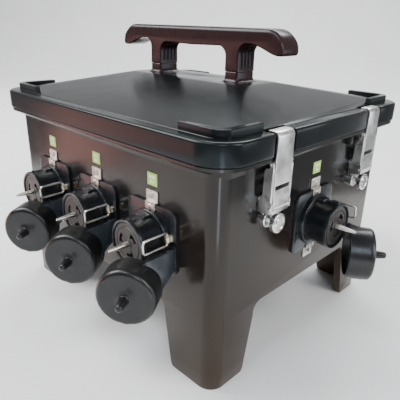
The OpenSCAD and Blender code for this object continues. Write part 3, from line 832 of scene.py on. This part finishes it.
def outlet_insert():
    """The contact face inside a barrel, with three curved slots."""
    front = -BARREL_LENGTH / MM + 1.6
    profile = [(0, -24.3), (23, -24.3), (23, front + 0.7), (22.4, front), (18.6, front)]
    profile += [(18.2, front + 0.5), (17.6, front + 0.5), (17.2, front), (5.6, front)]
    profile += [(5.0, front - 0.5), (4.2, front - 0.5), (0, front - 0.5)]
    model = lathe(mm(profile), 64)
    for start in (20, 140, 260):
        model = cut(model, arc_slot(start), STANDING)
    return model


def earth_pin():
    tip = -57
    profile = [(0, -30), (3.0, -30), (3.0, -39), (2.7, -40.2), (2.6, -44)]
    profile += [(1.5, tip + 1.6), (1.1, tip + 0.5), (0, tip)]
    return lathe(mm(profile), 24)


def inlet_insert():
    return lathe(mm([(0, -24.3), (23, -24.3), (23, -26.4), (22.4, -27), (0, -27)]), 64)


def inlet_pins():
    model = bmesh.new()
    profile = mm([(0, -26), (2.7, -26), (2.7, -31.6), (2.2, -32.7), (0, -33)])
    for angle in (90, 210, 330):
        place = turned(angle, "Y") @ moved((12 * MM, 0, 0))
        merge(model, lathe(profile, 20), place)
    return model


# ---- Weather caps and tethers ----

def cap_profile():
    """A cap's turned section: nipple, fillet, nearly flat face, soft shoulder, skirt, mouth and inside."""
    R, D = CAP_RADIUS, CAP_DEPTH
    profile = mm([(0, -16), (2.0, -15.9), (3.1, -15.2), (3.7, -13.8), (4.3, -8), (5.0, -2.4)])
    profile += arc(6.8 * MM, -2.0 * MM, 1.8 * MM, 180, 95, 4)
    profile += mm([(8.2, -0.1), (9.0, 0.25), (12, 0.3)]) + [(R - 8 * MM, 0.6 * MM)]
    profile += arc(R - 5.2 * MM, 5.6 * MM, 5.0 * MM, -90, -8, 8)
    profile += [(R - 0.2 * MM, 8 * MM), (R, D * 0.6), (R, D - 4.2 * MM), (R, D - 1 * MM)]
    profile += arc(R - 1 * MM, D - 1 * MM, 1 * MM, 0, 90, 3)
    profile += [(R - 2.4 * MM, D), (R - 3 * MM, D - 0.7 * MM), (R - 3 * MM, 6.5 * MM)]
    return profile + [(R - 4.5 * MM, 4.6 * MM), (0, 4.3 * MM)]


def make_cap(index):
    """A rubber cap: domed face, nipple with a fillet, and a keel over the key rib."""
    model = lathe(cap_profile(), 96)
    keel = math.radians(-90 if index <= 3 else 62)
    keel_half, keel_depth, wobble_depth = math.radians(21), 0.022, 0.15 * MM
    for vertex in model.verts:
        point = vertex.co
        radius = math.hypot(point.x, point.z)
        if radius < CAP_RADIUS - 9 * MM:
            continue
        away = (math.atan2(point.z, point.x) - keel + math.pi) % (2 * math.pi) - math.pi
        flat = max(0.0, 1 - abs(away) / keel_half)
        shrink = 1 - keel_depth * (1 - abs(2 * flat - 1)) * (radius / CAP_RADIUS) ** 2
        wobble = wobble_depth * noise.noise(point * 90 + Vector((index * 7.0, 0, 0)))
        scale = min(shrink * (1 + wobble / radius), CAP_RADIUS / radius)
        point.x *= scale
        point.z *= scale
    model.transform(cap_matrix(index))
    node = f"cap_{index}"
    piece(f"{node}_shell", model, CAP_RUBBER, node, (node,), crease=50)


def tether_grid(index, rows, steps):
    """The middle surface of a tether, as rows of points from the flange's edge to the cap's rim."""
    to_outlet = outlet_matrix(index).inverted() @ cap_matrix(index)
    rim_radius, rim_depth = 0.985 * CAP_RADIUS, CAP_DEPTH - 3 * MM
    forward = (to_outlet.to_3x3() @ Vector((0, -1, 0))).normalized()

    def rim(degrees):
        angle = math.radians(degrees)
        spot = Vector((rim_radius * math.cos(angle), rim_depth, rim_radius * math.sin(angle)))
        return to_outlet @ spot

    rim_high, rim_low = rim(66), rim(2)
    root_high, root_low = Vector((37.4, -4.4, -1.5)) * MM, Vector((37.4, -4.4, -26)) * MM
    grid = []
    for r in range(rows + 1):
        start = root_low.lerp(root_high, r / rows)
        end = rim_low.lerp(rim_high, r / rows) + forward * 6 * MM
        lead = start + Vector((3.5, -9, 0)) * MM
        tail = end - forward * 10 * MM + Vector((1.5, 0, 0)) * MM
        grid.append([bezier(start, lead, tail, end, k / steps) for k in range(steps + 1)])
    return grid


def make_tether(index):
    """The broad rubber strap from the flange's edge to the cap's rim."""
    rows, steps, thickness = 7, 14, 2.6 * MM
    grid = tether_grid(index, rows, steps)
    model = bmesh.new()

    def skin(offset):
        """The grid's points moved along the surface's normals."""
        sheet = []
        for r, line in enumerate(grid):
            row = []
            for k, point in enumerate(line):
                ahead = line[min(k + 1, steps)] - line[max(k - 1, 0)]
                up = grid[min(r + 1, rows)][k] - grid[max(r - 1, 0)][k]
                row.append(model.verts.new(point + ahead.cross(up).normalized() * offset))
            sheet.append(row)
        return sheet

    back, front = skin(-thickness / 2), skin(thickness / 2)
    for side, face in enumerate((back, front)):
        for r in range(rows):
            for k in range(steps):
                quad = [face[r][k], face[r][k + 1], face[r + 1][k + 1], face[r + 1][k]]
                model.faces.new(quad if side else list(reversed(quad)))
    for k in range(steps):
        model.faces.new((front[0][k], back[0][k], back[0][k + 1], front[0][k + 1]))
        model.faces.new((front[rows][k], front[rows][k + 1], back[rows][k + 1], back[rows][k]))
    for r in range(rows):
        model.faces.new((front[r][0], front[r + 1][0], back[r + 1][0], back[r][0]))
        model.faces.new((front[r][steps], back[r][steps], back[r + 1][steps], front[r + 1][steps]))
    round_edges(model, 0.7 * MM, 2, 45)
    place = outlet_matrix(index)
    model.transform(place)
    node = f"cap_tether_{index}"
    strap = piece(f"tether_{index}_strap", model, TETHER_RUBBER, None, (node,), crease=40)
    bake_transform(strap)


def tether_lug():
    """The pressed keeper that holds a strap's root against the flange."""
    lug = block((33.9 * MM, -11.6 * MM, -27.3 * MM), (38.0 * MM, -PLATE, -25.7 * MM), 0.5 * MM)
    merge(lug, block((33.9 * MM, -11.6 * MM, -4.4 * MM), (38.0 * MM, -PLATE, -2.7 * MM), 0.5 * MM))
    return merge(lug, block(*mm([(33.9, -10.4, -26.6), (34.9, -8.4, -3.2)]), 0.3 * MM))


# ---- Bails, clips, labels ----

def make_bail(index):
    """A wire loop with bent corners, turning in the brass eye."""
    low, high, reach, bend = 1.5 * MM, 15.5 * MM, 31 * MM, 3.2 * MM
    far, near = BAIL_PIVOT.y - reach + bend, BAIL_PIVOT.y - bend
    bottom, top = low + bend, high - bend
    points = []
    for cy, cz, start in ((far, bottom, 180), (near, bottom, 270), (near, top, 0), (far, top, 90)):
        points += [Vector((BAIL_PIVOT.x, y, z)) for y, z in arc(cy, cz, bend, start, start + 90)]
    model = wire_loop(points, 1.15 * MM, 10)
    model.transform(outlet_matrix(index))
    node = f"bail_{index}"
    piece(f"{node}_wire", model, WIRE_STEEL, node, (node,), crease=60)


def bail_eye():
    """A turned eye on its foot."""
    section = mm([(1.7, -3), (3.0, -3), (3.2, -2.4), (3.2, 2.4), (3.0, 3), (1.7, 3)])
    eye = lathe(section, 20, closed=True)
    eye.transform(moved(BAIL_PIVOT) @ turned(90, "X"))
    return merge(eye, block((29.6 * MM, -6.2 * MM, 5.5 * MM), (35.4 * MM, -PLATE, 11.5 * MM), 0.6 * MM))


def bent_clip():
    """A zinc strip: foot on the wall, step over the flange's edge and a narrower tab on its face."""
    tab_half, thick, gap, soft = 7.6 * MM, 1.4 * MM, 0.1 * MM, 0.3 * MM
    step_z, tab_front = 36.4 * MM, PLATE + 0.1 * MM
    model = prism(rounded_outline(9 * MM, 6.6 * MM, 1.4 * MM, 3), gap, gap + thick, soft)
    model.transform(raised(43 * MM))
    merge(model, block((-tab_half, -tab_front - thick, step_z), (tab_half, -0.3 * MM, step_z + thick), soft))
    tab = prism(rounded_outline(tab_half, 4.4 * MM, 1.6 * MM, 3), tab_front, tab_front + thick, soft)
    return merge(model, tab, raised(33.6 * MM))


def make_clips():
    clips, screws, rivets = bmesh.new(), bmesh.new(), bmesh.new()
    screw_profile = mm([(0, -3.5), (2.2, -3.4), (3.4, -2.6), (3.7, -1.5), (0, -1.4)])
    rivet_profile = mm([(0, -5.9), (1.2, -5.8), (2.2, -5.3), (2.6, -4.5), (0, -4.4)])
    screw_z, rivet_z = 44 * MM, 33.4 * MM
    for index in range(1, 6):
        place = outlet_matrix(index)
        for flip in (1, -1):
            merge(clips, bent_clip(), place @ Matrix.Diagonal((1, 1, flip, 1)))
            slot = block(*mm([(-0.5, -4.4, -4.5), (0.5, -2.7, 4.5)]))
            screw = cut(lathe(screw_profile, 28), slot, turned(35 * index, "Y"))
            merge(screws, screw, place @ moved((0, 0, flip * screw_z)))
            merge(rivets, lathe(rivet_profile, 24), place @ moved((0, 0, flip * rivet_z)))
    piece("flange_clip_set", clips, ZINC, "base", ("flange_clips",), crease=35)
    piece("clip_screw_set", screws, PLATED_STEEL, "base", ("clip_screws",), crease=35)
    piece("clip_rivet_set", rivets, COPPER, "base", ("clip_rivets",), crease=40)


def make_labels():
    """A green film above each outlet, with five plain raised marks."""
    films, marks = bmesh.new(), bmesh.new()
    spots = mm([(-3.4, 2.6), (0, 2.6), (3.4, 2.6), (-1.8, -2.8), (1.8, -2.8)])
    for index in range(1, 5):
        place = outlet_matrix(index) @ raised(61.25 * MM)
        merge(films, prism(rounded_outline(7.5 * MM, 6.75 * MM, 0.5 * MM, 3), 0.0, 0.45 * MM), place)
        for spot in spots:
            outline = [p + Vector(spot) for p in rounded_outline(1.25 * MM, 1.9 * MM, 0.6 * MM, 2)]
            merge(marks, prism(outline, 0.4 * MM, 0.56 * MM), place)
    piece("label_films", films, LABEL_GREEN, "base", ("outlet_labels",), crease=30)
    piece("label_marks", marks, LABEL_WHITE, "base", (), crease=30)


# ---- Latches ----

def strap_outline():
    """The hook seen from the side, as (out, up) points."""
    bend = 5.5 * MM
    back, front = STRAP_PLANE, STRAP_PLANE + STRAP_THICKNESS
    cx, cz = front - bend, HOOK_TOP - bend
    points = [(back, STRAP_BOTTOM), (front, STRAP_BOTTOM)] + arc(cx, cz, bend, 0, 90, 7)
    points += [(front - 12.2 * MM, HOOK_TOP), (front - 12.5 * MM, HOOK_TOP - 0.8 * MM)]
    points += [(front - 12.3 * MM, HOOK_TOP - STRAP_THICKNESS)]
    return points + arc(cx, cz, bend - STRAP_THICKNESS, 90, 0, 5)


def make_strap(index):
    """A draw strap with a window and a rolled knuckle."""
    half, margin = 13 * MM, 1.4 * MM
    model = prism(strap_outline(), -half, half)
    model.transform(STANDING)
    window_low = (STRAP_PLANE - 3 * MM, -half + margin, 220.8 * MM)
    window_high = (STRAP_PLANE + 6 * MM, half - margin, 225.0 * MM)
    model = cut(model, block(window_low, window_high))
    bore, skin = 1.7 * MM, 3.3 * MM
    knuckle = lathe([(bore, -half), (skin, -half), (skin, half), (bore, half)], 24, closed=True)
    knuckle.transform(moved(STRAP_PIVOT))
    round_edges(model, 0.5 * MM, 2, 45)
    merge(model, round_edges(knuckle, 0.35 * MM, 2, 45))
    model.transform(latch_matrix(index))
    node = f"latch_strap_{index}"
    piece(f"latch_{index}_hook", model, STAINLESS, node, (node,), crease=30)


def cheek_outline():
    """A bracket cheek seen from the side, as (out, up) points."""
    front = STRAP_PLANE / MM + 1.5
    points = [(0, 196), (front - 2, 196), (front + 1.6, 199), (front + 1.6, 205), (front, 209), (front, 244)]
    points += [(front - 0.7, 247), (front - 2.6, 248.4), (front - 4.6, 247.8), (front - 5.4, 246)]
    points += [(front - 4, 244.6), (front - 4.4, 242), (6.5, 241), (5.5, 238), (5.5, 213), (0, 208)]
    return mm(points)


def make_latch_base(index):
    """The wall bracket: back plate, two cheeks with curled tops and flanged edges, and a fixed washer."""
    inner, sheet = 13.8 * MM, 1.5 * MM
    front = STRAP_PLANE + sheet
    model = block((0, -inner - sheet, 196 * MM), (2 * MM, inner + sheet, 212 * MM), 0.5 * MM)
    merge(model, block((0, -6 * MM, CAM_Z), (2 * MM, 6 * MM, 198 * MM), 0.4 * MM))
    for side in (-1, 1):
        low = inner if side > 0 else -inner - sheet
        merge(model, prism(cheek_outline(), low, low + sheet, 0.35 * MM, 2), STANDING)
        out, away = sorted((side * inner, side * (inner + 2.6 * MM)))
        merge(model, block((front - 1.2 * MM, out, 209 * MM), (front + 0.2 * MM, away, 243 * MM), 0.35 * MM))
        curl = lathe(mm([(1.0, -0.9), (2.0, -0.9), (2.0, 0.9), (1.0, 0.9)]), 18, closed=True)
        merge(model, curl, moved((front - 2.4 * MM, side * (inner + 1.3 * MM), 246.4 * MM)))
    washer = lathe(mm([(3.2, 0), (8.5, 0), (8.5, -4.2), (7.8, -5), (3.2, -5)]), 36, closed=True)
    merge(model, washer, moved((0, 0, CAM_Z)) @ QUARTER_TURN)
    model.transform(latch_matrix(index))
    name, node = f"latch_{index}_bracket", f"latch_base_{index}"
    piece(name, model, STAINLESS, "base", (node,))


def make_cam(index):
    """A slotted quarter-turn disc on its stem."""
    radius = 10.4
    profile = [(0, -0.5), (3, -0.5), (3, -11.6), (4.4, -12), (radius - 0.5, -12)]
    profile += [(radius, -12.5), (radius, -16.2)] + arc(radius - 1.2, -16.6, 1.2, 20, -80, 4)
    profile += [(7.4, -17.9), (6.8, -17.4), (6.2, -17.4), (5.6, -18), (0, -18.1)]
    slot = block(*mm([(-0.9, -20, -6.6), (0.9, -16.6, 6.6)]))
    model = cut(lathe(mm(profile), 48), slot, turned(12 + 24 * index, "Y"))
    model.transform(latch_matrix(index) @ moved((0, 0, CAM_Z)) @ QUARTER_TURN)
    node = f"latch_cam_{index}"
    piece(f"latch_{index}_disc", model, DISC_STEEL, node, (node,), crease=35)


# ---- Build ----

make_tub()
make_lid()
make_handle()
for outlet in range(1, 6):
    make_housing(outlet)
    make_cap(outlet)
    make_tether(outlet)
    make_bail(outlet)
OUTLETS, INLET, ALL = range(1, 5), (5,), range(1, 6)
for row in (
    ("outlet_faces", outlet_insert, OUTLETS, INSERT_PLASTIC, "insert_plastic", "outlet_inserts", 30),
    ("earth_contact_pins", earth_pin, OUTLETS, WIRE_STEEL, "stainless_steel", "earth_pins", 40),
    ("inlet_face", inlet_insert, INLET, INSERT_PLASTIC, "insert_plastic", "inlet_insert", 30),
    ("inlet_contact_pins", inlet_pins, INLET, BRASS, "brass", "inlet_pins", 40),
    ("tether_keepers", tether_lug, ALL, WIRE_STEEL, "plated_steel", "tether_lugs", 35),
    ("bail_eyelets", bail_eye, ALL, BRASS, "brass", "bail_eyes", 35),
):
    outlet_set(*row)
make_clips()
make_labels()
for latch in range(1, 5):
    make_strap(latch)
    make_latch_base(latch)
    make_cam(latch)

KEPT = (
    ("lid_gasket", GASKET_RUBBER, "lid", "black_rubber", 0.5),
    ("handle_screws", PLATED_STEEL, "lid", "plated_steel", 0.3),
    ("latch_pins", STAINLESS, "base", "stainless_steel", 0.25),
    ("gear_plate", STAINLESS, "base", "stainless_steel", 0.3),
    ("standoffs", PLATED_STEEL, "base", "plated_steel", 0.4),
    ("din_rail", ZINC, "base", "zinc_plate", 0.25),
    ("breaker_cases", GEAR_PLASTIC, "base", "gear_plastic", 0.6),
    ("main_switch_case", GEAR_PLASTIC, "base", "gear_plastic", 0.6),
    ("main_toggle", LEVER_PLASTIC, "main_toggle", "lever_plastic", 0.5),
    ("test_button", BUTTON_PLASTIC, "test_button", "button_plastic", 0.4),
    ("terminal_bars", BRASS, "base", "brass", 0.3),
)
for node, material, body, slot_name, edge_mm in KEPT:
    refined(node, material, body, edge_mm * MM)
for number in range(1, 5):
    refined(f"breaker_toggle_{number}", LEVER_PLASTIC, f"toggle_{number}", 0.5 * MM)


# ---- Studio ----

def make_floor():
    """A pale paper sweep: it widens away from the camera and curves up into a backdrop."""
    bend_start, bend_radius, wide, backdrop_top = 2.2, 1.2, 2.6, 3.2
    profile = [(-1.6, 0.0, 0.72, 0.5), (-0.6, 0.0, 0.72, 0.5), (0.3, 0.0, 0.8, 0.62)]
    profile.append((bend_start, 0.0, 1.9, 1.9))
    for out, rise in arc(bend_start, bend_radius, bend_radius, -90, 0, 10)[1:]:
        profile.append((out, rise, wide, wide))
    profile.append((bend_start + bend_radius, backdrop_top, wide, wide))
    heading = math.radians(43.96)
    away = Vector((-math.sin(heading), math.cos(heading), 0))
    side = Vector((math.cos(heading), math.sin(heading), 0))
    model = bmesh.new()
    rows = []
    for reach, height, left, right in profile:
        middle = away * reach + Vector((0, 0, height))
        rows.append([model.verts.new(middle + side * s) for s in (-left, right)])
    for one, two in zip(rows, rows[1:]):
        model.faces.new((one[0], one[1], two[1], two[0]))
    mesh = baked("studio_floor", model)
    for polygon in mesh.polygons:
        polygon.use_smooth = True
    nodes = Nodes("floor_paper")
    tone = nodes.mix(nodes.remap(nodes.noise(3, 2), 0.3, 0.7), (0.9, 0.9, 0.895), (0.93, 0.93, 0.925))
    rough = nodes.remap(nodes.noise(30, 2), 0.3, 0.7, 0.7, 0.8)
    normal = nodes.bump(nodes.noise(300, 2), 0.05, 0.0002)
    mesh.materials.append(nodes.finish(tone, rough, normal, specular=0.2))
    floor = add_object("studio_floor", mesh)


def add_area(name, place, target, size, power, color=(1, 1, 1)):
    data = bpy.data.lights.new(name, "AREA")
    data.shape = "RECTANGLE"
    data.size, data.size_y = size
    data.energy = power
    data.color = color
    lamp = add_object(name, data)
    lamp.location = place
    lamp.rotation_euler = (Vector(target) - Vector(place)).to_track_quat("-Z", "Y").to_euler()


def make_camera():
    """The main view: 44 degrees round from the outlet wall and 22 degrees up."""
    elevation, azimuth, roll = (math.radians(angle) for angle in (21.906, 43.964, 1.441))
    place = Vector((MIDDLE_X + 0.4256, -0.4332, 0.3672))
    level = math.cos(elevation)
    back = Vector((math.sin(azimuth) * level, -math.cos(azimuth) * level, math.sin(elevation)))
    right = Vector((math.cos(azimuth), math.sin(azimuth), 0))
    up = back.cross(right)
    turned_right = math.cos(roll) * right + math.sin(roll) * up
    turned_up = -math.sin(roll) * right + math.cos(roll) * up
    data = bpy.data.cameras.new("photo_camera")
    data.lens, data.sensor_width = 40.04, 36.0
    data.clip_start, data.clip_end = 0.02, 50
    camera = add_object("photo_camera", data)
    turn = Matrix((turned_right, turned_up, back)).transposed().to_4x4()
    camera.matrix_world = moved(place) @ turn
    bpy.context.scene.camera = camera


make_floor()
add_area("key_softbox", (-1.6, -1.1, 2.0), (0, 0, 0.15), (1.6, 1.6), 95)
add_area("back_softbox", (-0.7, 1.9, 2.5), (0, 1.0, 0.1), (2.4, 1.0), 90, (0.95, 0.98, 1.0))
add_area("top_softbox", (0.0, -1.0, 1.9), (0, -0.2, 0.1), (0.7, 0.4), 12, (0.9, 0.95, 1.0))
add_area("front_fill", (0.95, -0.8, 0.95), (0.1, -0.1, 0.15), (0.4, 0.5), 6, (0.72, 0.84, 1.0))
add_area("side_softbox", (2.3, 0.3, 1.4), (0, 0, 0.15), (1.0, 1.4), 40, (1.0, 0.96, 0.9))
add_area("corner_card", (0.6, -0.5, 0.02), (0.4, -0.32, 3.0), (0.09, 0.75), 1.6, (0.6, 0.76, 1.0))
add_area("warm_card", (-0.84, -0.9, 0.1), (0.2, 0.15, 1.6), (0.7, 0.5), 3.0, (1.0, 0.46, 0.4))
add_area("low_side_card", (1.35, 0.75, 0.25), (0.1, 0, 0.2), (0.9, 0.4), 4.5, (0.9, 0.95, 1.0))
world = bpy.data.worlds.new("studio_world")
world.use_nodes = True
background = world.node_tree.nodes["Background"].inputs
background["Color"].default_value = (0.95, 0.97, 1.0, 1)
background["Strength"].default_value = 0.34
bpy.context.scene.world = world
make_camera()
